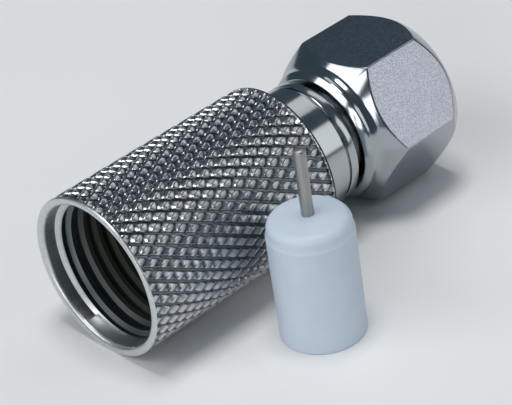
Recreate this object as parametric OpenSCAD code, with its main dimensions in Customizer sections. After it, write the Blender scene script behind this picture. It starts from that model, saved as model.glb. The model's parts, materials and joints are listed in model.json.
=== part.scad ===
// Twist-on F plug for thick coaxial cable, with its loose insert.
//
// The plug lies on its side on the knurl, with two flats of the nut level.
// The insert, a contact pin in an insulator, stands beside it on its rear face.
// The plug's own pieces are drawn along +Z, from the cable mouth at z = 0 to the mating end,
// and are then turned so that the cable leaves along -X and the mating end faces +X.
// Origin: on the surface they stand on, midway along and across the whole.

/* [Sleeve] */
// Diameter over the knurl
sleeve_d = 13.9; // [13.6:0.1:15]
// Length of the knurled barrel, from the cable mouth to the shoulder at the neck
barrel_l = 19.7; // [18:0.1:24]
// Diameter of the smooth neck
neck_d = 10.8; // [10:0.1:12]
// Length of the smooth neck
neck_l = 4.2; // [3:0.1:7]
// Distance from the groove round the neck to the neck's front edge
groove_setback = 1; // [0.6:0.1:1.8]
// Width of the groove round the neck
groove_w = 0.25; // [0.15:0.05:0.5]
// Depth of the groove round the neck
groove_depth = 0.2; // [0.1:0.05:0.4]
// Bevel on the sleeve's outer edges
sleeve_bevel = 0.15; // [0.05:0.05:0.25]

/* [Knurl] */
// Number of knurl teeth around the barrel
knurl_count = 41; // [30:1:48]
// Angle between the knurl's rows and the axis, in degrees
knurl_angle = 30; // [25:1:40]
// Depth of the knurl
knurl_depth = 0.35; // [0.2:0.05:0.4]
// Width of the smooth land at the cable mouth
mouth_land = 0.45; // [0.3:0.05:0.8]
// Width of the smooth land at the shoulder
shoulder_land = 0.3; // [0.2:0.05:0.6]

/* [Jacket thread] */
// Diameter of the thread's crests, which bite into the cable's jacket
jacket_crest_d = 11.6; // [11:0.1:11.8]
// Depth of the thread
jacket_thread_depth = 0.35; // [0.2:0.05:0.4]
// Pitch of the thread
jacket_pitch = 1.27; // [1:0.01:1.6]
// Length of the threaded stretch, from the mouth
jacket_thread_l = 14.5; // [10:0.5:16]
// Depth of the smooth lead-in at the mouth
lead_in_l = 1.6; // [1:0.1:2.5]
// Length of the cone that closes the cable bore down to the ferrule
bore_cone_l = 1.2; // [0.8:0.1:1.6]

/* [Ferrule] */
// Bore of the ferrule, for the cable's dielectric or the insulator
ferrule_bore_d = 7.1; // [7:0.05:7.4]
// Wall of the ferrule
ferrule_wall = 0.35; // [0.3:0.05:0.5]
// Diameter of the flange that keeps the nut on
flange_d = 8.55; // [8.4:0.05:8.6]
// Thickness of the flange
flange_t = 0.9; // [0.6:0.1:1.4]
// Opening in the flange, in front of the seat for the insulator's dome
flange_mouth_d = 5; // [4.6:0.1:5.6]

/* [Nut] */
// Width of the nut across its flats
nut_af = 13; // [12.4:0.1:14]
// Length of the nut, from its rear lip to its front face
nut_l = 10.3; // [9.4:0.1:13]
// Gap between the sleeve's neck and the nut's rear lip, which lets the nut slide
nut_gap = 0.75; // [0.4:0.05:1.2]
// Diameter of the round collar behind the hexagon
collar_d = 11.6; // [11.2:0.1:12]
// Length of the round collar, to where its fillet starts
collar_l = 0.75; // [0.5:0.05:1.2]
// Radius of the fillet between the collar and the rear cone
collar_fillet = 1; // [0.4:0.1:1.4]
// Radius of the collar's rounded rear lip
lip_round = 0.3; // [0.1:0.05:0.4]
// Length of the chamfered stretch in front of the hexagon's corners
front_chamfer_l = 2.5; // [1.5:0.1:3]
// Angle between the front chamfer and the axis, in degrees
front_chamfer_angle = 28; // [20:1:45]
// Thickness of the inward lip that the flange pulls on
lip_t = 1.5; // [1:0.1:2]
// Clearance on the radius between the nut and the ferrule
nut_clearance = 0.08; // [0.04:0.01:0.1]
// Nominal diameter of the coupling thread
coupling_d = 9.525; // [9.2:0.025:9.8]
// Bore at the crests of the coupling thread
coupling_crest_d = 8.7; // [8.7:0.05:8.9]
// Countersink at the front of the coupling thread
coupling_lead_in = 0.45; // [0.3:0.05:0.6]

/* [Insulator] */
// Diameter of the insulator
insulator_d = 6.95; // [6.8:0.05:6.95]
// Length of the insulator, to the flat round the pin
insulator_l = 10.8; // [9.5:0.1:14]
// Height of the dome at the insulator's front
dome_h = 1.1; // [0.6:0.1:1.4]
// Diameter of the flat in the middle of the dome
dome_flat_d = 2.4; // [2:0.1:3]
// Radius of the rounded edge below the dome
dome_edge = 0.3; // [0.1:0.05:0.5]

/* [Centre pin] */
// Diameter of the pin
pin_d = 1; // [0.8:0.05:1.2]
// Length of the pin that stands out of the insulator
pin_out = 5.8; // [4:0.1:8]
// Diameter of the pin's shank inside the insulator
shank_d = 1.5; // [1.3:0.1:1.8]
// Length of the pin's bevelled tip
pin_tip = 0.25; // [0.1:0.05:0.4]
// Bore of the socket behind the pin, for the cable's conductor
socket_bore_d = 1.7; // [1.4:0.05:1.8]
// Outer diameter of the socket
socket_d = 2.7; // [2.5:0.1:3.2]
// Length of the socket
socket_l = 7; // [4:0.5:8]
// Thickness of the solid end between the socket's bore and the shank
socket_end = 1; // [0.5:0.1:1.5]
// Width of the slit that lets the socket spring open
socket_slit = 0.3; // [0.2:0.05:0.5]
// Distance of the insulator's axis from the cable mouth, along the plug
insert_x = 12.2; // [5:0.1:15]
// Distance of the insulator's axis from the plug's axis
insert_y = 11.8; // [11:0.1:20]

/* [Hidden] */
// Curved surfaces are true circles; arcs in a profile get this many steps
$fn = 96;
arc_steps = 6;
// How far a cut runs past the face it leaves by
over = 1;

// Radii of the sleeve
crest_r = sleeve_d / 2;
root_r = crest_r - knurl_depth;
core_r = root_r - 0.1;
land_r = root_r + 0.15;
neck_r = neck_d / 2;
sleeve_l = barrel_l + neck_l;

// Radii of the cable bore
jacket_crest_r = jacket_crest_d / 2;
jacket_root_r = jacket_crest_r + jacket_thread_depth;
lead_in_r = jacket_root_r + 0.1;

// Ferrule
ferrule_r = ferrule_bore_d / 2 + ferrule_wall;
bore_end = barrel_l - 2;
flange_z = sleeve_l + nut_gap + lip_t;
flange_front = flange_z + flange_t;

// Nut
nut_z = sleeve_l + nut_gap;
nut_front = nut_z + nut_l;
corner_r = nut_af / 2 / cos(30);
collar_r = collar_d / 2;

// Insert. The dome is an arc centred on the axis, dome_depth below the flat.
insulator_r = insulator_d / 2;
flat_r = dome_flat_d / 2;
dome_depth = (pow(insulator_r, 2) - pow(flat_r, 2) + pow(dome_h, 2)) / 2 / dome_h;
dome_r = norm([flat_r, dome_depth]);
dome_c = [0, insulator_l - dome_depth];

// Place of the plug's axis and of the insert in the shared frame
side_r = max(crest_r, corner_r);
insert_side = insert_y + insulator_r;
centre_x = nut_front / 2;
centre_y = (side_r - insert_side) / 2;

// Height of a circle of radius r over its centre, at a distance from the axis
function rise(r, at) = sqrt(r * r - at * at);

// Points of an arc round c, from angle a0 to angle a1
function arc(c, r, a0, a1, n = arc_steps) =
    [for (i = [0 : n]) let (a = a0 + (a1 - a0) * i / n) c + r * [cos(a), sin(a)]];

// Point on a circle of radius r at height z
function ring_point(r, a, z) = [r * cos(a), r * sin(a), z];

// Lays a piece of the plug along the X axis of the shared frame
module plug() {
    translate([-centre_x, -centre_y, crest_r]) rotate([0, 90, 0]) children();
}

// Stands a piece of the insert on the surface beside the plug
module insert() {
    translate([insert_x - centre_x, -insert_y - centre_y, 0]) children();
}

// Skin of a diamond knurl between two heights: a grid of points whose radius steps up and down
// by turns, cut along the diagonal that joins the low points, so that each high point is the
// tip of a pyramid. At both ends the skin falls to a round edge inside the smooth lands.
module knurl_skin(z0, z1) {
    around = 2 * knurl_count;
    tooth = PI * sleeve_d / knurl_count;
    rows = round((z1 - z0) / (tooth / 2 / tan(knurl_angle)));
    step = (z1 - z0) / (rows + 1);
    end_r = core_r + 0.05;
    points = [
        for (j = [-1 : rows + 1], i = [0 : around - 1])
            let (edge = j < 0 || j > rows,
                 r = edge ? end_r : (i + j) % 2 == 0 ? root_r : crest_r,
                 z = z0 + step * min(max(j + 0.5, 0), rows + 1))
            ring_point(r, 360 * i / around, z)
    ];
    faces = [
        [for (i = [0 : around - 1]) i],
        [for (i = [around - 1 : -1 : 0]) (rows + 2) * around + i],
        for (j = [0 : rows + 1], i = [0 : around - 1])
            let (n = (i + 1) % around,
                 a = j * around + i, b = j * around + n,
                 c = (j + 1) * around + n, d = (j + 1) * around + i,
                 low_first = (i + j) % 2 == 1)
            each low_first ? [[a, c, b], [a, d, c]] : [[a, d, b], [b, d, c]]
    ];
    polyhedron(points, faces, convexity = 4);
}

// Outside of the sleeve without its knurl: mouth land, core, shoulder land and grooved neck
module sleeve_blank() {
    b = sleeve_bevel;
    g = sleeve_l - groove_setback;
    rotate_extrude()
        polygon([
            [0, 0],
            [land_r - b, 0], [land_r, b], [land_r, mouth_land],
            [core_r, mouth_land], [core_r, barrel_l - shoulder_land],
            [land_r, barrel_l - shoulder_land], [land_r, barrel_l - b], [land_r - b, barrel_l],
            [neck_r, barrel_l],
            [neck_r, g - groove_w / 2], [neck_r - groove_depth, g - groove_w / 2],
            [neck_r - groove_depth, g + groove_w / 2], [neck_r, g + groove_w / 2],
            [neck_r, sleeve_l - b], [neck_r - b, sleeve_l],
            [0, sleeve_l]
        ]);
}

// Cable bore: lead-in, ridges of the jacket thread, and the cone down to the ferrule's seat.
// A groove lies behind each ridge, and its two flanks meet the ridges' flat crests.
module cable_bore() {
    crest_w = jacket_pitch * 0.3;
    root_w = jacket_pitch * 0.25;
    flank_w = (jacket_pitch - crest_w - root_w) / 2;
    ridges = floor((jacket_thread_l - lead_in_l) / jacket_pitch);
    rotate_extrude()
        polygon(concat(
            [[0, -over], [lead_in_r + over, -over],
             [lead_in_r, sleeve_bevel], [lead_in_r, lead_in_l - flank_w]],
            [for (i = [0 : ridges - 1])
                let (z = lead_in_l + i * jacket_pitch)
                each [[jacket_crest_r, z], [jacket_crest_r, z + crest_w],
                      [jacket_root_r, z + crest_w + flank_w],
                      [jacket_root_r, z + crest_w + flank_w + root_w]]],
            [[jacket_crest_r, lead_in_l + ridges * jacket_pitch],
             [jacket_crest_r, bore_end - bore_cone_l], [ferrule_r, bore_end],
             [ferrule_r, sleeve_l + over], [0, sleeve_l + over]]
        ));
}

module sleeve() {
    color("DimGray")
        plug() union() {
            difference() {
                sleeve_blank();
                cable_bore();
            }
            difference() {
                knurl_skin(mouth_land / 2, barrel_l - shoulder_land / 2);
                cylinder(r = core_r - 0.1, h = barrel_l);
            }
        }
}

// Ferrule: pressed into the neck, it carries the nut in front of it
module ferrule() {
    mouth_r = flange_mouth_d / 2;
    seat_l = rise(dome_r, mouth_r) - rise(dome_r, insulator_r);
    color("Silver")
        plug() rotate_extrude()
            polygon([
                [ferrule_bore_d / 2, bore_end], [ferrule_r, bore_end],
                [ferrule_r, flange_z], [flange_d / 2, flange_z],
                [flange_d / 2, flange_front],
                [mouth_r, flange_front],
                [ferrule_bore_d / 2, flange_front - seat_l]
            ]);
}

// Outside of the nut as it is turned: lip, collar, fillet, rear cone, corners, front chamfer
module nut_envelope() {
    front_r = corner_r - front_chamfer_l * tan(front_chamfer_angle);
    f = collar_fillet;
    fillet_c = [collar_r + f, nut_z + collar_l];
    lip_c = [collar_r - lip_round, nut_z + lip_round];
    fillet_end = fillet_c + f * [cos(135), sin(135)];
    cone_l = corner_r - fillet_end[0];
    rotate_extrude()
        polygon(concat(
            [[0, nut_z]],
            arc(lip_c, lip_round, -90, 0),
            arc(fillet_c, f, 180, 135),
            [[corner_r, fillet_end[1] + cone_l],
             [corner_r + over, fillet_end[1] + cone_l],
             [corner_r + over, nut_front - front_chamfer_l],
             [corner_r, nut_front - front_chamfer_l],
             [front_r, nut_front], [0, nut_front]]
        ));
}

// Inside of the nut: the hole that runs on the ferrule, the room for the flange, the thread
module nut_bore() {
    relief_r = coupling_d / 2 + 0.05;
    crest = coupling_crest_d / 2;
    lip_front = nut_z + lip_t;
    relief_end = flange_front + 0.6;
    rotate_extrude()
        polygon([
            [0, nut_z - over], [ferrule_r + nut_clearance, nut_z - over],
            [ferrule_r + nut_clearance, lip_front - 0.05], [relief_r, lip_front - 0.05],
            [relief_r, relief_end - (relief_r - crest)], [crest, relief_end],
            [crest, nut_front - coupling_lead_in],
            [crest + coupling_lead_in + over, nut_front + over], [0, nut_front + over]
        ]);
}

module nut() {
    color("LightSlateGray")
        plug() difference() {
            intersection() {
                translate([0, 0, nut_z]) rotate([0, 0, 30])
                    cylinder(r = corner_r, h = nut_l, $fn = 6);
                nut_envelope();
            }
            nut_bore();
        }
}

// Insulator: a rod with a domed front and a stepped hole for the pin and its socket
module insulator() {
    e = dome_edge;
    edge_c = [insulator_r - e, dome_c[1] + rise(dome_r - e, insulator_r - e)];
    edge_a = atan2(edge_c[1] - dome_c[1], edge_c[0]);
    color("AliceBlue")
        insert() rotate_extrude()
            polygon(concat(
                [[socket_d / 2, 0], [insulator_r, 0]],
                arc(edge_c, e, 0, edge_a),
                arc(dome_c, dome_r, edge_a, atan2(dome_depth, flat_r)),
                [[shank_d / 2, insulator_l], [shank_d / 2, socket_l], [socket_d / 2, socket_l]]
            ));
}

// Centre pin: solid in front, with a slit socket behind for the cable's conductor
module centre_pin() {
    tip_z = insulator_l + pin_out;
    bore_l = socket_l - socket_end;
    color("Gray")
        insert() difference() {
            rotate_extrude()
                polygon([
                    [socket_bore_d / 2, 0], [socket_d / 2, 0], [socket_d / 2, socket_l],
                    [shank_d / 2, socket_l], [shank_d / 2, insulator_l],
                    [pin_d / 2, insulator_l], [pin_d / 2, tip_z - pin_tip],
                    [pin_d / 2 - pin_tip, tip_z], [0, tip_z],
                    [0, bore_l], [socket_bore_d / 2, bore_l]
                ]);
            translate([-socket_d, -socket_slit / 2, -over])
                cube([2 * socket_d, socket_slit, bore_l]);
        }
}

sleeve();
ferrule();
nut();
insulator();
centre_pin();
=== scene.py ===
# %% [markdown]
# # A twist-on F plug and its loose insert
#
# An F plug joins the thick coaxial cable of an aerial or a satellite dish to a socket.
# This kind has no crimp: the knurled sleeve is twisted onto the cable by hand, and ridges in
# its mouth bite into the jacket. A hexagon nut turns freely on the sleeve's neck and pulls the
# plug onto the socket. The insert, a contact pin in a white rod, goes over the cable's
# conductor before the sleeve does. Here it stands beside the plug.
#
# The first step is the same in every scene that dresses a CAD part: load the imported model
# before anything is added, with a way to read the box of each of its parts. The dressed model
# has to stay inside it.

# %% Load the fixed frame
import json
import math

import bmesh
import bpy
from mathutils import Matrix, Vector


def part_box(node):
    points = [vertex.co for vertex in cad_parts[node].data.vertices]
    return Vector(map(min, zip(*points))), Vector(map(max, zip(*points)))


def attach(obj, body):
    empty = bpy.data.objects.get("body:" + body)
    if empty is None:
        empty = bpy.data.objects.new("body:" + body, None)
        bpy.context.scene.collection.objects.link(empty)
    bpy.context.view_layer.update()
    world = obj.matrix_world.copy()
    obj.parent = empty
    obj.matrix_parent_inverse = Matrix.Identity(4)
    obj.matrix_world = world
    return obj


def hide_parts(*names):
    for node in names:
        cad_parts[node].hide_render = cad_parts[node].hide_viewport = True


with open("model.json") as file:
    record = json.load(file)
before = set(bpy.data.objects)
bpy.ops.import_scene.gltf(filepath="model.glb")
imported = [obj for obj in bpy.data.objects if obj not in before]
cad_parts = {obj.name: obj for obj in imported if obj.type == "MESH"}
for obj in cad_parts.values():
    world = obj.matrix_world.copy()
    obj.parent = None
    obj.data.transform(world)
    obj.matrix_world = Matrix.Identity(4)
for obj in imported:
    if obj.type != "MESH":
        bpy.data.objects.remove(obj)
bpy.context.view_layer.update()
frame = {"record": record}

mm = 0.001

# %% [markdown]
# ## Where the pieces go
#
# The plug lies on its side, so its axis runs along X. Turning a shape is easiest about Z, so
# each piece is modelled standing up, with the cable mouth at height 0, and is then laid down
# by one matrix. The record's mounts say where both axes are, and the sleeve's box says where
# the mouth is, so nothing has to be fitted by eye. The insert already stands upright.

# %% Matrices that lay the plug down and stand the insert beside it
mounts = {mount["name"]: Vector(mount["pos_m"]) for mount in frame["record"]["mounts"]}
plug_axis = mounts["cable_bore"].copy()
plug_axis.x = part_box("sleeve")[0].x
insert_axis = mounts["contact_pin"].copy()
insert_axis.z = 0

lay_plug = Matrix.Translation(plug_axis) @ Matrix.Rotation(math.radians(90), 4, "Y")
stand_insert = Matrix.Translation(insert_axis)
print("plug axis in mm:", [round(c / mm, 3) for c in plug_axis])
print("insert axis in mm:", [round(c / mm, 3) for c in insert_axis])

# %% [markdown]
# ## Two helpers that every piece uses
#
# Almost every surface here was cut on a lathe, so almost every mesh starts as a half outline
# that `bmesh.ops.spin` carries once round the axis. `use_merge` joins the last step to the
# first, which leaves no seam.
#
# A finished piece gets smooth shading and a Weighted Normal modifier. Smooth shading alone
# would bend the light across a flat face next to a rounded edge. The modifier lets the
# biggest face at each corner decide, so flats stay flat and only the edges look rounded.

# %% Turning an outline and keeping a finished piece
merge_gap = 0.0005  # points nearer to each other than this, in mm, are one point
tolerance = 0.002  # how far off, in mm, a point still counts as on a ring or on another point
sharpest_smooth = 40  # edges with a steeper bend than this, in degrees, stay sharp


def turn(bm, outline, steps, closed=False):
    """Turns a half outline of (radius, height) points in mm about Z."""
    points = [bm.verts.new((radius * mm, 0, height * mm)) for radius, height in outline]
    lines = [bm.edges.new(pair) for pair in zip(points, points[1:])]
    if closed:
        lines.append(bm.edges.new((points[-1], points[0])))
    bmesh.ops.spin(bm, geom=points + lines, cent=(0, 0, 0), axis=(0, 0, 1), dvec=(0, 0, 0),
                   angle=math.tau, steps=steps, use_merge=True, use_duplicate=False)


def keep(bm, name, body, node, place, finishes):
    """Closes a mesh, puts it in its place and makes it the piece that stands for a CAD node."""
    bmesh.ops.remove_doubles(bm, verts=bm.verts, dist=merge_gap * mm)
    bmesh.ops.recalc_face_normals(bm, faces=bm.faces)
    bmesh.ops.transform(bm, matrix=place, verts=bm.verts)
    open_edges = sum(1 for edge in bm.edges if len(edge.link_faces) != 2)
    for face in bm.faces:
        face.smooth = True
    mesh = bpy.data.meshes.new(name)
    bm.to_mesh(mesh)
    bm.free()
    mesh.set_sharp_from_angle(angle=math.radians(sharpest_smooth))
    for finish in finishes:
        mesh.materials.append(finish)
    piece = bpy.data.objects.new(name, mesh)
    bpy.context.scene.collection.objects.link(piece)
    normals = piece.modifiers.new("flats stay flat", "WEIGHTED_NORMAL")
    normals.keep_sharp = True
    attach(piece, body)
    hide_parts(node)
    triangles = sum(len(polygon.vertices) - 2 for polygon in mesh.polygons)
    print(f"{name}: {triangles} triangles, {open_edges} open edges")


# %% [markdown]
# ## Rounded edges
#
# No real edge is perfectly sharp, and on metal the narrow round along an edge is what catches
# the light. `bmesh.ops.bevel` makes it. Called from a script it has other defaults than in the
# editor, so the kind of bevel, the number of segments, the profile (0.5 is round) and the
# material (-1 keeps the neighbour's) are all given.
#
# Edges are found by where they lie: on a ring, or on an open border. A list keeps the mesh's
# own order. A set would not, and the same script would then round corners in another order on
# each run.

# %% Rounding chosen edges
def round_edges(bm, edges, width, segments=3):
    """Rounds edges to a width in mm. One segment gives a chamfer instead."""
    bmesh.ops.bevel(bm, geom=edges, offset=width * mm, offset_type="OFFSET", segments=segments,
                    profile=0.5, affect="EDGES", clamp_overlap=True, material=-1)


def ring_edges(bm, radius, height):
    """The edges of the ring that goes round the axis at a radius and a height in mm."""
    def on_ring(vert):
        return (abs(vert.co.xy.length / mm - radius) < tolerance
                and abs(vert.co.z / mm - height) < tolerance)
    return [edge for edge in bm.edges if all(on_ring(vert) for vert in edge.verts)]


def open_ring(bm, height):
    """The edges of an open border that lies at a height in mm."""
    def at_height(vert):
        return abs(vert.co.z / mm - height) < tolerance
    return [edge for edge in bm.edges
            if len(edge.link_faces) == 1 and all(at_height(vert) for vert in edge.verts)]


def trim(bm, low, high):
    """Cuts a bmesh square at two heights in mm, and keeps what lies between them."""
    for height, side in ((low, -1), (high, 1)):
        bmesh.ops.bisect_plane(bm, geom=bm.verts[:] + bm.edges[:] + bm.faces[:],
                               dist=merge_gap * mm, plane_co=(0, 0, height * mm),
                               plane_no=(0, 0, side), clear_outer=True)


# %% [markdown]
# ## A thread that really climbs
#
# A thread is one groove wound round the axis. One pitch of its outline is spun once round
# while it climbs a pitch (`dvec` is the climb of each step), and copies of that turn are moved
# up a pitch at a time, so that each meets the next edge to edge. `trim` cuts the ends square,
# and they are bridged to the plain bore on each side.

# %% Winding a thread inside a bore
def pour(source, target):
    """Adds one bmesh to another, through a mesh that is then thrown away."""
    carrier = bpy.data.meshes.new("carrier")
    source.to_mesh(carrier)
    source.free()
    target.from_mesh(carrier)
    bpy.data.meshes.remove(carrier)


def wind_thread(bm, pitch, crest, root, start, end, steps):
    """Winds a thread of a pitch, crest radius and root radius in mm between two heights."""
    crest_w, root_w = pitch * 0.3, pitch * 0.25
    flank_w = (pitch - crest_w - root_w) / 2
    low_end = start - 1.5 * pitch  # the turns reach past both cuts
    wound = bmesh.new()
    outline = [(crest, 0), (crest, crest_w), (root, crest_w + flank_w),
               (root, crest_w + flank_w + root_w), (crest, pitch)]
    turns = math.ceil((end - start) / pitch) + 2
    points = [wound.verts.new((radius * mm, 0, (height + low_end) * mm))
              for radius, height in outline]
    lines = [wound.edges.new(pair) for pair in zip(points, points[1:])]
    bmesh.ops.spin(wound, geom=points + lines, cent=(0, 0, 0), axis=(0, 0, 1),
                   dvec=(0, 0, pitch / steps * mm), angle=math.tau, steps=steps,
                   use_merge=False, use_duplicate=False)
    one_turn = wound.verts[:] + wound.edges[:] + wound.faces[:]
    for turn_number in range(1, turns):
        copy = bmesh.ops.duplicate(wound, geom=one_turn)
        raised = [item for item in copy["geom"] if isinstance(item, bmesh.types.BMVert)]
        bmesh.ops.translate(wound, verts=raised, vec=(0, 0, pitch * turn_number * mm))
    bmesh.ops.remove_doubles(wound, verts=wound.verts, dist=tolerance * mm)
    trim(wound, start, end)
    bmesh.ops.remove_doubles(wound, verts=wound.verts, dist=tolerance * mm)
    pour(wound, bm)
    print(f"thread of {pitch} mm pitch: {turns - 2} turns")


def bridge(bm, one, other):
    """Closes the gap between two open rings with a strip of faces."""
    bmesh.ops.bridge_loops(bm, edges=one + other)


# %% [markdown]
# ## Shader sums written as sums
#
# A procedural finish is mostly arithmetic on positions, and a tree of Math nodes is hard to
# read. The class `Wire` wraps one socket and gives it Python's operators, so that
# `1 - mask * 0.3` adds the Math nodes by itself. The class `Finish` is one material, and its
# `node` method adds any other node: its kind, then its settings, then its sockets.

# %% One class for sockets and one for materials
class Wire:
    """A socket that can be used in sums: each operator adds a Math node."""

    def __init__(self, finish, socket):
        self.finish, self.socket = finish, socket

    def sum(self, operation, first, second=0.0):
        return self.finish.node("ShaderNodeMath", {"operation": operation},
                                {0: first, 1: second})

    def __add__(self, other):
        return self.sum("ADD", self, other)

    def __sub__(self, other):
        return self.sum("SUBTRACT", self, other)

    def __rsub__(self, other):
        return self.sum("SUBTRACT", other, self)

    def __mul__(self, other):
        return self.sum("MULTIPLY", self, other)

    def __pow__(self, other):
        return self.sum("POWER", self, other)

    __radd__ = __add__
    __rmul__ = __mul__


class Finish:
    """A material being made, on the position of each point in the shared frame, in mm."""

    def __init__(self, name, **shader_values):
        self.material = bpy.data.materials.new(name)
        self.material.use_nodes = True
        self.tree = self.material.node_tree
        self.shader = self.tree.nodes["Principled BSDF"]
        for socket, value in shader_values.items():
            self.shader.inputs[socket.replace("_", " ")].default_value = value

    def node(self, kind, settings=None, sockets=None, output=0):
        made = self.tree.nodes.new(kind)
        for name, value in (settings or {}).items():
            setattr(made, name, value)
        for name, value in (sockets or {}).items():
            self.feed(made.inputs[name], value)
        return Wire(self, made.outputs[output])

    def feed(self, socket, value):
        if isinstance(value, Wire):
            self.tree.links.new(value.socket, socket)
        else:
            socket.default_value = value

    def paint(self, **sockets):
        """Feeds the shader's sockets, and returns the finished material."""
        for name, value in sockets.items():
            self.feed(self.shader.inputs[name.replace("_", " ")], value)
        print("finish:", self.material.name)
        return self.material

    def place(self, origin):
        """Position in mm from a point given in metres, through a Mapping node."""
        objects = self.node("ShaderNodeTexCoord", output="Object")
        return self.node("ShaderNodeMapping", {"vector_type": "POINT"},
                         {"Vector": objects, "Scale": (1 / mm,) * 3,
                          "Location": tuple(-c / mm for c in origin)})

    def split(self, vector):
        made = self.node("ShaderNodeSeparateXYZ", sockets={"Vector": vector}).socket.node
        return [Wire(self, socket) for socket in made.outputs]

    def join(self, x, y, z=0.0):
        return self.node("ShaderNodeCombineXYZ", sockets={"X": x, "Y": y, "Z": z})

    def noise(self, vector, scale, detail=2.0, roughness=0.5):
        return self.node("ShaderNodeTexNoise", {"noise_dimensions": "3D"},
                         {"Vector": vector, "Scale": scale, "Detail": detail,
                          "Roughness": roughness})

    def mix(self, share, first, second):
        """One colour into another. Colours need a Mix node: a Math node would turn them grey."""
        return self.node("ShaderNodeMix", {"data_type": "RGBA"},
                         {0: share, 6: first, 7: second}, output=2)

    def ease(self, value, low, high):
        """Rises smoothly from 0 to 1 while the value goes from low to high."""
        return self.node("ShaderNodeMapRange", {"clamp": True, "interpolation_type": "SMOOTHSTEP"},
                         {"Value": value, "From Min": low, "From Max": high,
                          "To Min": 0.0, "To Max": 1.0})

    def bump(self, height, depth):
        """A relief whose full height is a depth in mm."""
        return self.node("ShaderNodeBump", sockets={"Height": height, "Distance": depth * mm,
                                                    "Strength": 1.0})


# %% [markdown]
# ## Nickel plate, turned and polished
#
# The plug is brass with a thin nickel plate. Nickel is a rather dark mirror, so its colours
# here are middle greys. A lathe leaves very fine rings round the axis, so the relief reads two
# numbers only, the place along the axis and the distance from it, and it can't vary round the
# piece.

# %% Places on the plug, along its axis and out from it, and the rings that read them
def lathe_places(finish, spot):
    """How far along the plug's axis a spot lies, and how far out from it, in mm."""
    x, y, z = finish.split(spot)
    return x, (y * y + z * z) ** 0.5


def turned_marks(finish, x, out, depth):
    """The relief of a lathe's fine rings, of a depth in mm."""
    rings = finish.noise(finish.join(x, out), 9.0, detail=3.0, roughness=0.6)
    return finish.bump(rings, depth)


# %% Bright nickel for the neck, the ferrule and the nut's cones
def bright_nickel(name, tint, rough, marks=0.0012):
    """Nickel of a tint and a roughness, with lathe marks of a depth in mm."""
    finish = Finish(name, Metallic=1.0)
    spot = finish.place(plug_axis)
    x, out = lathe_places(finish, spot)
    cloud = finish.noise(spot, 0.35)
    rings = finish.noise(finish.join(x, out), 4.0)
    dull = tuple(c * 0.86 for c in tint)
    return finish.paint(Base_Color=finish.mix(cloud, (*dull, 1), (*tint, 1)),
                        Roughness=rough + (rings - 0.5) * 0.08 + (cloud - 0.5) * 0.06,
                        Normal=turned_marks(finish, x, out, marks))


neck_nickel = bright_nickel("neck_nickel", (0.48, 0.51, 0.52), 0.15, marks=0.003)
nut_nickel = bright_nickel("nut_nickel", (0.44, 0.47, 0.49), 0.13, marks=0.002)
ferrule_nickel = bright_nickel("ferrule_nickel", (0.62, 0.62, 0.60), 0.22)

# %% [markdown]
# ## The bore's finish and its painted shade
#
# The lead-in at the mouth is satin and bright. The ridges behind it are duller, and their colour
# is painted dark as the shade inside the bore, darker still over their first few millimetres.
# A second material could start at the first ridge, but it would need an edge of the mesh to end
# at. One material that follows the distance from the mouth needs none, and it can fade.

# %% The bore: a satin lead-in at the mouth and ridges behind it painted dark as shade
def bore_nickel_shaded_by_depth():
    finish = Finish("bore_nickel", Metallic=1.0)
    spot = finish.place(plug_axis)
    x, out = lathe_places(finish, spot)
    _, y, z = finish.split(spot)
    satin_dark, satin_pale = (0.50, 0.54, 0.54, 1), (0.78, 0.80, 0.80, 1)
    # painted shade: both ridge colours are dark as the shade inside the bore, the deeper one
    # darkest
    shaded_first_ridges, darkest_shaded_ridges = (0.17, 0.20, 0.20, 1), (0.075, 0.08, 0.07, 1)
    streaks = finish.noise(finish.join(x * 0.3, y * 3.0, z * 3.0), 1.0, detail=3.0)
    past_lead_in, deep_shade_and_dulling = finish.ease(x, 1.45, 1.75), finish.ease(x, 2.0, 5.0)
    satin = finish.mix(streaks, satin_dark, satin_pale)
    # painted shade: the ridges darken with depth into the bore, and their roughness grows too
    ridges = finish.mix(deep_shade_and_dulling, shaded_first_ridges, darkest_shaded_ridges)
    return finish.paint(Base_Color=finish.mix(past_lead_in, satin, ridges),
                        Roughness=0.36 + deep_shade_and_dulling * 0.36 + (streaks - 0.5) * 0.1,
                        Normal=turned_marks(finish, x, out, 0.003))


bore_nickel = bore_nickel_shaded_by_depth()

# %% [markdown]
# ## The knurl's finish and the painted shade in its grooves
#
# The colour is painted darker towards the grooves' floors, as the shade that falls in the
# grooves, and the tops of the diamonds stay bright.

# %% Knurled nickel: bright tops, grooves darkened with painted shade
def knurled_nickel():
    finish = Finish("knurled_nickel", Metallic=1.0)
    spot = finish.place(plug_axis)
    _, out = lathe_places(finish, spot)
    floor_r, top_r = 6.72, 6.92
    groove_shade_grey, top_grey = (0.13, 0.15, 0.16, 1), (0.56, 0.56, 0.58, 1)
    cloud = finish.noise(spot, 0.6, detail=3.0)
    grain = finish.noise(spot, 7.0, detail=3.0, roughness=0.7)
    # painted shade: the colour falls off from the diamonds' tops to the grooves' floors
    return finish.paint(Base_Color=finish.mix(finish.ease(out, floor_r, top_r),
                                              groove_shade_grey, top_grey),
                        Roughness=0.22 + (cloud - 0.5) * 0.14,
                        Normal=finish.bump(grain, 0.012))


knurl_nickel = knurled_nickel()

# %% [markdown]
# ## The flats of the nut
#
# The flats are as the drawn bar left them under the plate: a fine satin grain without
# direction, which blurs what it mirrors.

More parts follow.
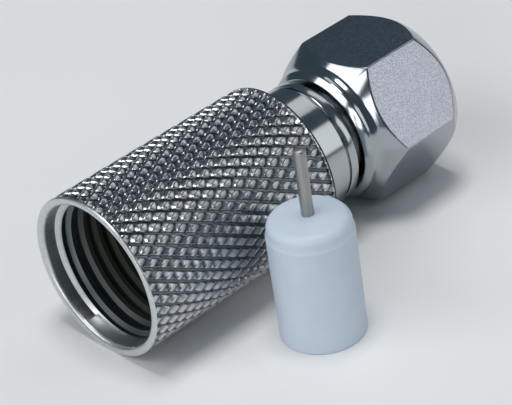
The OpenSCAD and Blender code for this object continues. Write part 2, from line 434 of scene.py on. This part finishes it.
# %% Satin nickel for the six flats
def satin_nickel():
    finish = Finish("satin_nickel", Metallic=1.0)
    spot = finish.place(plug_axis)
    grain_dark, grain_pale = (0.31, 0.33, 0.37, 1), (0.52, 0.53, 0.59, 1)
    grain = finish.noise(spot, 9.0, detail=4.0, roughness=0.75)
    cloud = finish.noise(spot, 0.5)
    return finish.paint(Base_Color=finish.mix(finish.ease(grain, 0.35, 0.65),
                                              grain_dark, grain_pale),
                        Roughness=0.18 + (cloud - 0.5) * 0.06 + (grain - 0.5) * 0.10,
                        Normal=finish.bump(grain, 0.012))


flat_nickel = satin_nickel()

# %% [markdown]
# ## Plastic and wire
#
# The insulator is soft white plastic with a matte skin: its fine grain is a little uneven and
# its colour a pale blue-white. The pin is drawn wire with a dull tin plate, so its streaks run
# along it.

# %% Matte plastic for the insulator and dull tin for the pin
def matte_plastic():
    finish = Finish("matte_plastic", IOR=1.46)
    spot = finish.place(insert_axis)
    blue_white, pale_white = (0.58, 0.67, 0.77, 1), (0.65, 0.73, 0.82, 1)
    cloud = finish.noise(spot, 0.35)
    skin = finish.noise(spot, 5.0, detail=4.0, roughness=0.65)
    return finish.paint(Base_Color=finish.mix(cloud, blue_white, pale_white),
                        Roughness=0.50 + (skin - 0.5) * 0.2,
                        Normal=finish.bump(skin, 0.012))


def dull_tin():
    finish = Finish("dull_tin", Metallic=1.0)
    x, y, z = finish.split(finish.place(insert_axis))
    dark_tin, pale_tin = (0.28, 0.27, 0.26, 1), (0.48, 0.48, 0.47, 1)
    streaks = finish.noise(finish.join(x * 6.0, y * 6.0, z * 0.4), 1.0, detail=3.0)
    return finish.paint(Base_Color=finish.mix(streaks, dark_tin, pale_tin),
                        Roughness=0.36 + streaks * 0.14,
                        Normal=finish.bump(streaks, 0.01))


rod_plastic = matte_plastic()
pin_tin = dull_tin()

# %% [markdown]
# ## The knurl
#
# A knurl is rolled: hardened wheels press crossing grooves into the bar. On this sleeve they
# run round it at 30 degrees both ways. The right-hand grooves have flat floors and steep sides,
# so they show as clean dark lines. The left-hand ones are shallow V shapes with gentle sides,
# and they part the ribs between those lines into small diamonds.
#
# A displacement texture could fake it, but from a step away the knurl is the plug's whole look.
# So a flat grid is made whose lines are the grooves' edges, four for each groove. One
# direction of the grid counts left-hand grooves and the other right-hand ones. Each point
# takes the lower of its two grooves' heights, as if two cutters had passed, and is then rolled
# up: the sum of the two counts is the way round, and their difference the way along.

# %% Sizes of the sleeve, in mm
sleeve_r, barrel_l, neck_r, neck_l = 6.95, 19.7, 5.4, 4.2
sleeve_l = barrel_l + neck_l
knurl_count, knurl_angle = 41, 30
mouth_land, shoulder_land = 0.18, 0.22
ferrule_r, ferrule_start = 3.9, 17.7
tooth = math.tau * sleeve_r / knurl_count
groove_pitch = tooth * math.cos(math.radians(knurl_angle))
print("sleeve length in mm:", round(sleeve_l, 2), "groove pitch:", round(groove_pitch, 3))


# %% One groove in four lines
def groove_lines(floor_w, flank_w, depth):
    """Where the four lines of a groove lie, as shares of the pitch, and how deep each is."""
    floor, flank = floor_w / groove_pitch / 2, flank_w / groove_pitch
    return [(floor, depth), (floor + flank, 0), (1 - floor - flank, 0), (1 - floor, depth)]


left_hand = groove_lines(0.03, 0.30, 0.20)
right_hand = groove_lines(0.16, 0.11, 0.22)
print("right-hand groove:", [(round(at, 2), depth) for at, depth in right_hand])


# %% A tube of diamonds between grooves
def roll_knurl(bm, low_end, high_end):
    """Adds the knurl between two heights in mm, with an open ring at each."""
    lines = len(left_hand)
    tooth_l = tooth / math.tan(math.radians(knurl_angle))
    along = math.ceil(2 * (high_end - low_end) / tooth_l) + 2
    columns, rows = lines * knurl_count, lines * (knurl_count + along)
    rolled = bmesh.new()
    bmesh.ops.create_grid(rolled, x_segments=columns, y_segments=rows, size=1)
    outside = []
    for point in rolled.verts:
        i = round((point.co.x + 1) / 2 * columns)
        j = round((point.co.y + 1) / 2 * rows) - lines * along
        left, left_depth = left_hand[i % lines]
        right, right_depth = right_hand[j % lines]
        left, right = left + i // lines, right + j // lines
        height = low_end + (left - right - 1) / 2 * tooth_l
        radius = sleeve_r - max(left_depth, right_depth)
        angle = (left + right) / 2 / knurl_count * math.tau
        point.co = Vector((radius * math.cos(angle), radius * math.sin(angle), height)) * mm
        if not low_end - tooth_l < height < high_end + tooth_l:
            outside.append(point)
    bmesh.ops.delete(rolled, geom=outside, context="VERTS")
    bmesh.ops.remove_doubles(rolled, verts=rolled.verts, dist=tolerance * mm)
    trim(rolled, low_end, high_end)
    print(f"knurl: {len(rolled.faces)} faces, about {len(rolled.faces) // lines ** 2} diamonds")
    pour(rolled, bm)


# %% [markdown]
# ## The sleeve
#
# One closed shell: the knurled barrel, the smooth neck with a thin groove round it, and inside
# the mouth a lead-in and the ridges that bite into the cable's jacket, down to the ferrule.
#
# The smooth parts are turned in two pieces. One is the mouth. The other runs from the thread's
# end through the bore, round the neck and back to the barrel's shoulder. The thread and the
# knurl are poured in between them, and a narrow strip is bridged at each of their ends, so that
# the shell is closed all round.

# %% The sleeve's shell
def make_sleeve():
    lead_in_r, lead_in_l, cone_l = 6.25, 1.6, 1.2
    thread_pitch, thread_crest, thread_root, thread_end = 1.27, 5.8, 6.15, 14.5
    groove_w, groove_depth, groove_back = 0.25, 0.2, 1.0
    groove_start = sleeve_l - groove_back - groove_w / 2
    groove_end = sleeve_l - groove_back + groove_w / 2
    knurl_start, knurl_end = mouth_land, barrel_l - shoulder_land
    end_round, mouth_round, groove_round = 0.15, 0.38, 0.04
    run_out, strip = 0.3, 0.1
    steps = len(left_hand) * knurl_count
    neck_slot, bore_slot = 1, 2  # the knurl keeps slot 0
    bm = bmesh.new()
    turn(bm, [(sleeve_r, knurl_start), (sleeve_r, 0), (lead_in_r, 0),
              (lead_in_r, lead_in_l - run_out)], steps)
    turn(bm, [(thread_crest, thread_end + run_out), (thread_crest, ferrule_start - cone_l),
              (ferrule_r, ferrule_start), (ferrule_r, sleeve_l), (neck_r, sleeve_l),
              (neck_r, groove_end), (neck_r - groove_depth, groove_end),
              (neck_r - groove_depth, groove_start), (neck_r, groove_start),
              (neck_r, barrel_l), (sleeve_r, barrel_l), (sleeve_r, knurl_end)], steps)
    for radius, height in ((sleeve_r, 0), (neck_r, sleeve_l), (sleeve_r, barrel_l)):
        round_edges(bm, ring_edges(bm, radius, height), end_round)
    round_edges(bm, ring_edges(bm, lead_in_r, 0), mouth_round, segments=5)
    for height in (groove_start, groove_end):
        round_edges(bm, ring_edges(bm, neck_r, height), groove_round, segments=2)
    wind_thread(bm, thread_pitch, thread_crest, thread_root, lead_in_l, thread_end, steps)
    bridge(bm, open_ring(bm, lead_in_l - run_out), open_ring(bm, lead_in_l))
    bridge(bm, open_ring(bm, thread_end), open_ring(bm, thread_end + run_out))
    for face in bm.faces:  # the shoulder and the neck, then the bore and the narrow lands
        on_neck = face.calc_center_median().z / mm > barrel_l - tolerance
        face.material_index = neck_slot if on_neck else bore_slot
    roll_knurl(bm, knurl_start + strip, knurl_end - strip)
    bridge(bm, open_ring(bm, knurl_start), open_ring(bm, knurl_start + strip))
    bridge(bm, open_ring(bm, knurl_end), open_ring(bm, knurl_end - strip))
    keep(bm, "sleeve_shell", "plug", "sleeve", lay_plug,
         [knurl_nickel, neck_nickel, bore_nickel])


make_sleeve()

# %% [markdown]
# ## The ferrule
#
# A thin tube pressed into the neck. Its flange is the shoulder that the nut pulls on, and
# the flange's narrowed mouth is the seat for the insert's dome. Its wall is drawn as one closed
# outline, so a single turn makes the inside and the outside together.

# %% The ferrule's tube and flange
def make_ferrule():
    inner_r, mouth_r, flange_r = 3.55, 2.5, 4.275
    flange_rear, flange_front, seat_l = 26.15, 27.05, 0.52
    edge_round = 0.08
    bm = bmesh.new()
    turn(bm, [(inner_r, ferrule_start), (ferrule_r, ferrule_start), (ferrule_r, flange_rear),
              (flange_r, flange_rear), (flange_r, flange_front), (mouth_r, flange_front),
              (inner_r, flange_front - seat_l)], 144, closed=True)
    for radius, height in ((flange_r, flange_front), (flange_r, flange_rear),
                           (mouth_r, flange_front), (inner_r, ferrule_start),
                           (ferrule_r, ferrule_start)):
        round_edges(bm, ring_edges(bm, radius, height), edge_round)
    keep(bm, "ferrule_tube", "plug", "ferrule", lay_plug, [ferrule_nickel])


make_ferrule()

# %% [markdown]
# ## The nut
#
# The nut starts as a turned blank: collar, fillet, cone, and a chamfered front. Six cuts with
# `bisect_plane` then take off the flats, as a mill would, and each cut is closed with one face.
# Where the flats meet the cone they end in the curved edge that every hexagon nut has, and no
# curve has to be worked out for it.

# %% The nut, turned and then cut
def make_nut():
    rear, front, half_flats = 24.65, 34.95, 6.5
    collar_r, collar_l, collar_chamfer, fillet = 5.8, 0.75, 0.5, 1.0
    corner_r, spare = 7.506, 0.4
    chamfer_l, chamfer_angle, chamfer_forward = 2.5, 28, 0.8
    hole_r, relief_r, lip_front, relief_end = 3.98, 4.8125, 26.1, 27.65
    crest, root, pitch, lead_in, stop_short = 4.35, 4.7625, 0.794, 0.45, 0.05
    thread_start, thread_end = relief_end + 0.35, front - lead_in - 0.2
    bore_start, bore_end = relief_end + 0.15, front - lead_in + stop_short
    rim_round, chamfer_round, flats_round = 0.12, 0.08, 0.11
    steps, flat_slot = 180, 1
    fillet_l = fillet * math.tan(math.radians(22.5))
    cone_start = rear + collar_l + fillet_l
    # A cone of this length and angle gives the front face's radius. Its foot is then moved
    # forward, which makes the chamfer steeper, and out to a blank wider than the corners.
    slope = math.tan(math.radians(chamfer_angle))
    blank_r, front_r = corner_r + spare, corner_r - chamfer_l * slope
    chamfer_start = front - chamfer_l + (corner_r - blank_r) / slope + chamfer_forward
    bm = bmesh.new()
    turn(bm, [(crest, bore_start), (crest, relief_end),
              (relief_r, relief_end - (relief_r - crest)), (relief_r, lip_front),
              (hole_r, lip_front), (hole_r, rear), (collar_r, rear), (collar_r, cone_start),
              (blank_r, cone_start + blank_r - collar_r), (blank_r, chamfer_start),
              (front_r, front), (crest + lead_in, front), (crest + stop_short, bore_end)], steps)
    round_edges(bm, ring_edges(bm, collar_r, rear), collar_chamfer, segments=1)
    for radius, height in ((collar_r, rear + collar_chamfer), (collar_r - collar_chamfer, rear)):
        round_edges(bm, ring_edges(bm, radius, height), chamfer_round)
    round_edges(bm, ring_edges(bm, hole_r, rear), rim_round)
    round_edges(bm, ring_edges(bm, collar_r, cone_start), fillet_l, segments=8)
    for side in range(6):
        outwards = Matrix.Rotation(math.radians(60 * side), 3, "Z") @ Vector((1, 0, 0))
        cut = bmesh.ops.bisect_plane(bm, geom=bm.verts[:] + bm.edges[:] + bm.faces[:],
                                     dist=merge_gap * mm, plane_co=outwards * half_flats * mm,
                                     plane_no=outwards, clear_outer=True)
        rim = [item for item in cut["geom_cut"] if isinstance(item, bmesh.types.BMEdge)]
        filled = bmesh.ops.edgeloop_fill(bm, edges=[e for e in rim if len(e.link_faces) == 1])
        for face in filled["faces"]:
            face.material_index = flat_slot
    rims = [line for line in bm.edges
            if any(face.material_index == flat_slot for face in line.link_faces)]
    print("nut:", sum(face.material_index for face in bm.faces), "flats with", len(rims), "edges")
    round_edges(bm, rims, flats_round)
    round_edges(bm, ring_edges(bm, front_r, front), rim_round)
    wind_thread(bm, pitch, crest, root, thread_start, thread_end, steps)
    bridge(bm, open_ring(bm, bore_start), open_ring(bm, thread_start))
    bridge(bm, open_ring(bm, bore_end), open_ring(bm, thread_end))
    keep(bm, "hex_nut", "coupling_nut", "nut", lay_plug, [nut_nickel, flat_nickel])


make_nut()

# %% [markdown]
# ## The insert
#
# The insulator is a plain rod: flat behind, slightly domed in front, with a faint ledge
# below its head and a stepped hole for the pin. The pin is a solid wire in front. Behind,
# inside the rod, it is a socket that the cable's conductor pushes into, slit down both sides
# so that it can spring open. Each half of the socket is one face spun a little less than half
# round, which leaves the slit.

# %% Sizes that the rod and the pin in it share, in mm
rod_l, pin_r = 10.8, 0.5
socket_r, socket_l = 1.35, 7.0
shank_r, step_l = 0.75, 0.6
shank_end = rod_l - step_l
print("shank length in mm:", round(shank_end - socket_l, 2))


# %% The insulator
def make_insulator():
    rod_r, dome_h, flat_r = 3.475, 0.3, 1.2
    ledge, ledge_start, ledge_l = 0.13, 9.3, 0.3
    head_round, ledge_round, rear_round = 0.6, 0.06, 0.12
    head_r = rod_r - ledge
    depth = (head_r ** 2 - flat_r ** 2 + dome_h ** 2) / 2 / dome_h  # of the dome's centre
    dome_r = math.hypot(flat_r, depth)
    dome = [(radius, rod_l - depth + math.sqrt(dome_r ** 2 - radius ** 2))
            for radius in (head_r, 2.7, 2.3, 1.9, 1.5, flat_r)]
    bm = bmesh.new()
    turn(bm, [(socket_r, socket_l), (socket_r, 0), (rod_r, 0), (rod_r, ledge_start),
              (head_r, ledge_start + ledge_l), *dome, (pin_r, rod_l), (pin_r, shank_end),
              (shank_r, shank_end), (shank_r, socket_l)], 128, closed=True)
    round_edges(bm, ring_edges(bm, head_r, dome[0][1]), head_round, segments=5)
    round_edges(bm, ring_edges(bm, rod_r, ledge_start), ledge_round)
    round_edges(bm, ring_edges(bm, rod_r, 0), rear_round)
    keep(bm, "insulator_rod", "plug", "insulator", stand_insert, [rod_plastic])


make_insulator()


# %% The pin and its slit socket
def make_pin():
    stand_out, tip_round = 5.8, 0.25
    bore_r, web_l, slit = 0.85, 1.0, 0.3
    tip, bore_l = rod_l + stand_out, socket_l - web_l
    bm = bmesh.new()
    turn(bm, [(0, bore_l), (socket_r, bore_l), (socket_r, socket_l), (shank_r, socket_l),
              (shank_r, shank_end), (pin_r, shank_end), (pin_r, tip), (0, tip)], 64)
    round_edges(bm, ring_edges(bm, pin_r, tip), tip_round)
    half_slit = math.asin(slit / 2 / socket_r)
    for side in (0, math.pi):
        start = side + half_slit
        corners = [bm.verts.new((radius * mm * math.cos(start), radius * mm * math.sin(start),
                                 height * mm))
                   for radius, height in ((bore_r, 0), (socket_r, 0), (socket_r, bore_l),
                                          (bore_r, bore_l))]
        bmesh.ops.spin(bm, geom=[bm.faces.new(corners)], cent=(0, 0, 0), axis=(0, 0, 1),
                       dvec=(0, 0, 0), angle=math.pi - 2 * half_slit, steps=32,
                       use_duplicate=False)
    keep(bm, "contact_pin", "plug", "centre_pin", stand_insert, [pin_tin])


make_pin()

# %% [markdown]
# ## Floor, light and camera
#
# Metal shows its surroundings, so the lights are chosen by what each surface mirrors. A small,
# strong soft box overhead whitens the floor and the rod. Two panels to the right stand in the
# neck's reflections, and two to the left in those of the nut's rear cone. The dark gaps
# between the panels are what makes the nickel look like metal.

# %% A pale floor
def make_floor():
    half_side = 1.5  # in metres
    grey, pale_grey = (0.88, 0.88, 0.88, 1), (0.90, 0.90, 0.90, 1)
    bm = bmesh.new()
    bmesh.ops.create_grid(bm, x_segments=1, y_segments=1, size=half_side)
    mesh = bpy.data.meshes.new("floor")
    bm.to_mesh(mesh)
    bm.free()
    finish = Finish("floor_paint", Roughness=0.9, Specular_IOR_Level=0.0)
    cloud = finish.noise(finish.place((0, 0, 0)), 0.02)
    mesh.materials.append(finish.paint(Base_Color=finish.mix(cloud, grey, pale_grey)))
    floor = bpy.data.objects.new("floor", mesh)
    bpy.context.scene.collection.objects.link(floor)


make_floor()


# %% Soft boxes round the plug
box_distance = 0.5  # in metres, from the middle of the plug
plug_middle = Vector((0, 0, 0.007))


def soft_box(name, azimuth, elevation, wide, tall, radiance):
    """A panel that looks at the plug from an azimuth (0 = -Y, 90 = +X) and an elevation.

    Its width and height are the angles that it fills as seen from the plug, in degrees.
    """
    a, e = math.radians(azimuth), math.radians(elevation)
    towards = Vector((math.sin(a) * math.cos(e), -math.cos(a) * math.cos(e), math.sin(e)))
    light = bpy.data.lights.new(name, "AREA")
    light.shape = "RECTANGLE"
    light.size = 2 * box_distance * math.tan(math.radians(wide / 2))
    light.size_y = 2 * box_distance * math.tan(math.radians(tall / 2))
    light.energy = radiance * math.pi * light.size * light.size_y
    panel = bpy.data.objects.new(name, light)
    panel.location = plug_middle + towards * box_distance
    panel.rotation_euler = towards.to_track_quat("Z", "Y").to_euler()
    panel.visible_camera = False
    bpy.context.scene.collection.objects.link(panel)
    print(f"{name}: {light.energy:.2f} W")


soft_box("overhead_box", 0, 89, 20, 20, 11.0)
soft_box("right_rear_box", 110, 49, 28, 20, 0.95)
soft_box("right_front_box", 39, 23, 22, 38, 1.15)
soft_box("left_box", -104, 43, 52, 22, 2.7)
soft_box("left_front_box", -58, 15, 20, 34, 3.0)

# %% [markdown]
# The world gives the dark, slightly blue surroundings of the gaps between the panels.

# %% The surroundings
dusk_blue, dusk_strength = (0.55, 0.80, 1.0, 1), 0.12
world = bpy.data.worlds.new("studio")
bpy.context.scene.world = world
world.use_nodes = True
surroundings = world.node_tree.nodes["Background"]
surroundings.inputs["Color"].default_value = dusk_blue
surroundings.inputs["Strength"].default_value = dusk_strength
bpy.context.scene.view_settings.view_transform = "Standard"

# %% [markdown]
# The camera is a long lens from the left front and above, turned a little about its own
# view, so that the plug rises to the right.

# %% The camera
def make_camera():
    stand = Vector((-96.775, -114.694, 103.250)) * mm
    aim = Vector((-2.742, 1.131, 6.95)) * mm
    focal_length, sensor_width, roll_angle = 156.53, 36, -8.783
    nearest, farthest = 0.01, 10
    lens = bpy.data.cameras.new("camera")
    lens.lens, lens.sensor_width = focal_length, sensor_width
    lens.clip_start, lens.clip_end = nearest, farthest
    level = (stand - aim).to_track_quat("Z", "Y").to_matrix().to_4x4()
    roll = Matrix.Rotation(math.radians(roll_angle), 4, "Z")
    camera = bpy.data.objects.new("camera", lens)
    camera.matrix_world = Matrix.Translation(stand) @ level @ roll
    bpy.context.scene.collection.objects.link(camera)
    bpy.context.scene.camera = camera
    print("camera is", round((stand - aim).length / mm), "mm from what it looks at")


make_camera()
